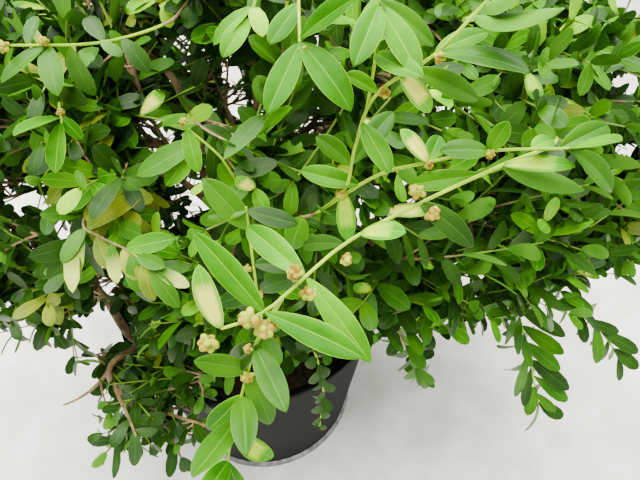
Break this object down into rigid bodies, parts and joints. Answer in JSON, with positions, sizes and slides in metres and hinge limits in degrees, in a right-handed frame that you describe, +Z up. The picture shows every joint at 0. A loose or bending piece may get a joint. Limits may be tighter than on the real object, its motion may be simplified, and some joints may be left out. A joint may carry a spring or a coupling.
{
  "type": "potted box shrub",
  "caption": "Loosely grown evergreen box shrub in a tapered plastic nursery pot, with a short trunk, forked stems, boughs and separate leafy masses.",
  "frame": {"origin": "centre of the pot's flat underside", "axes": "+Z up from the pot's underside through the pot's axis, -Y towards the front of the picture, +X to the right of the picture"},
  "size_m": [0.6844, 0.5364, 0.5618],
  "materials": {
    "pot_plastic": "satin",
    "potting_mix": "rough",
    "bark": "rough",
    "leaves": "glossy"
  },
  "bodies": {
    "root": {"pot": "pot_plastic", "potting_mix": "potting_mix", "trunk": "bark", "stem_front": "bark", "stem_right": "bark", "stem_back": "bark", "stem_back_left": "bark", "stem_left": "bark", "bough_top": "bark", "bough_upper_left": "bark", "bough_lower_front": "bark", "bough_lower_front_right": "bark", "bough_lower_right": "bark", "bough_lower_back_right": "bark", "bough_lower_back_left": "bark", "bough_lower_left": "bark", "bough_skirt": "bark", "foliage_top": "leaves", "foliage_upper_front": "leaves", "foliage_upper_right": "leaves", "foliage_upper_back": "leaves", "foliage_upper_back_left": "leaves", "foliage_upper_left": "leaves", "foliage_lower_front": "leaves", "foliage_lower_front_right": "leaves", "foliage_lower_right": "leaves", "foliage_lower_back_right": "leaves", "foliage_lower_back_left": "leaves", "foliage_lower_left": "leaves", "foliage_lower_front_left": "leaves", "foliage_skirt": "leaves"}
  },
  "joints": []
}
